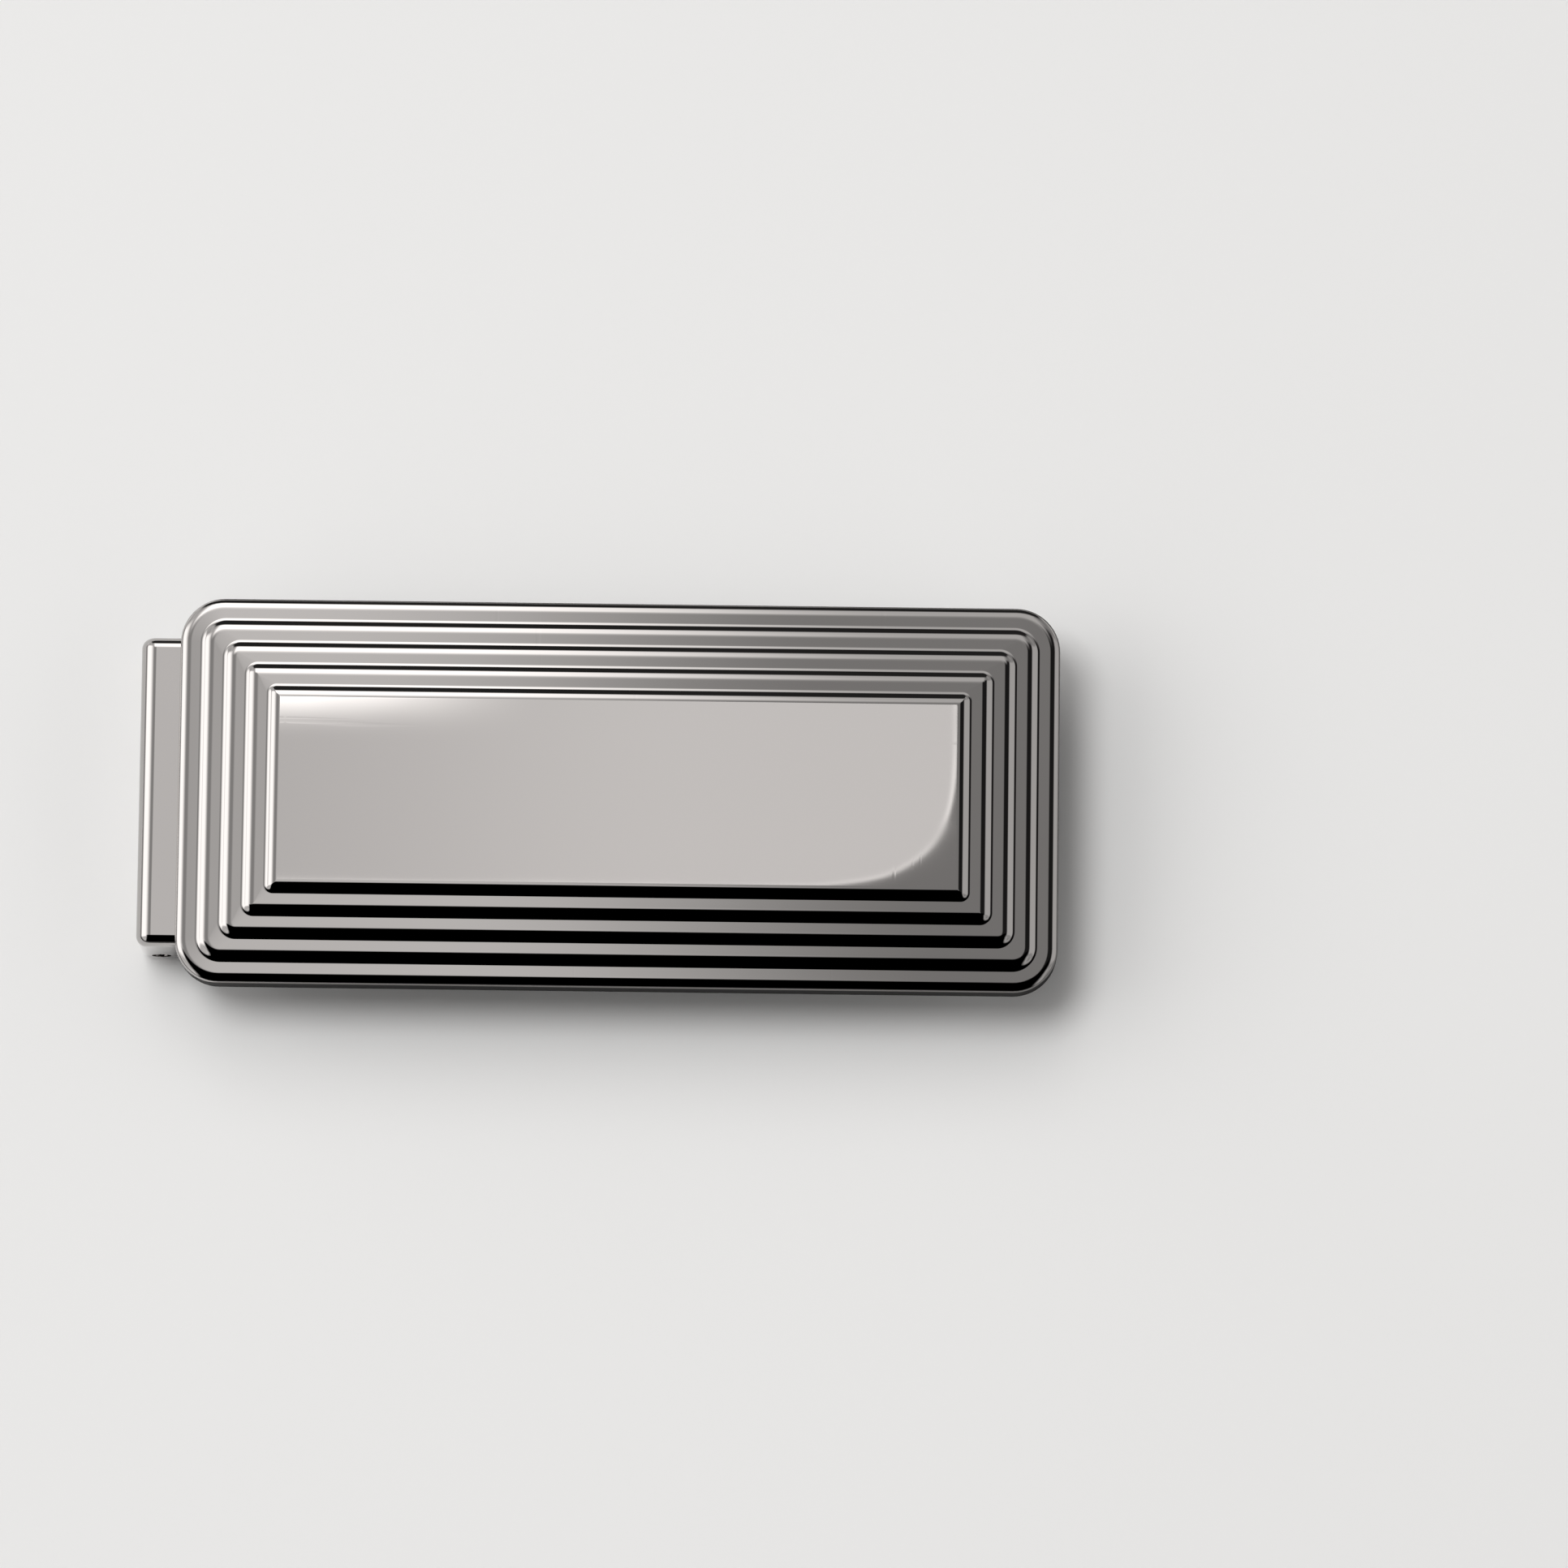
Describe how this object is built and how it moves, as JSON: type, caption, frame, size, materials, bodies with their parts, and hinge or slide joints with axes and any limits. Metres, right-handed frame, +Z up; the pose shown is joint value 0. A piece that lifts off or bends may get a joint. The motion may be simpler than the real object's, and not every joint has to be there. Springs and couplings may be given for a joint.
{
  "type": "money clip",
  "caption": "Hinged money clip: a tiered rectangular face plate that swings on a sprung clip arm to grip folded notes.",
  "frame": {"origin": "middle of the closed clip's footprint, on the surface that the clip arm lies on", "axes": "+X along the clip, from the hinge to the free end; +Y across it; +Z up, out of the face plate"},
  "size_m": [0.0602, 0.0254, 0.0088],
  "materials": {
    "polished_gunmetal": "high-polish gunmetal plating over cast zinc alloy and steel",
    "satin_steel": "fine satin, gunmetal tone",
    "spring_steel": "tempered spring steel, lightly polished",
    "rivet_steel": "plain steel rivet, lapped flat",
    "washer_brass": "plain brass"
  },
  "bodies": {
    "arm": {"clip_arm": "polished_gunmetal", "hinge_barrel": "spring_steel", "barrel_rivet_1": "rivet_steel", "barrel_rivet_2": "rivet_steel"},
    "front": {"face_plate": "polished_gunmetal", "back_plate": "satin_steel", "back_plate_rivet_1": "rivet_steel", "back_plate_rivet_2": "rivet_steel", "back_plate_rivet_3": "rivet_steel", "back_plate_rivet_4": "rivet_steel", "hinge_housing": "polished_gunmetal", "housing_rivet_1": "rivet_steel", "housing_rivet_2": "rivet_steel", "hinge_pin": "spring_steel", "pin_washer_near": "washer_brass", "pin_washer_far": "washer_brass", "leaf_spring": "spring_steel", "spring_rivet_1": "rivet_steel", "spring_rivet_2": "rivet_steel"}
  },
  "joints": [
    {"name": "clip_hinge", "type": "hinge", "parent": "arm", "child": "front", "pos_m": [-0.02865, 0, 0.0016], "axis": [0, -1, 0], "range_deg": [0, 90], "stiffness_Nm_per_rad": 0.05, "springref_deg": -114.59}
  ]
}
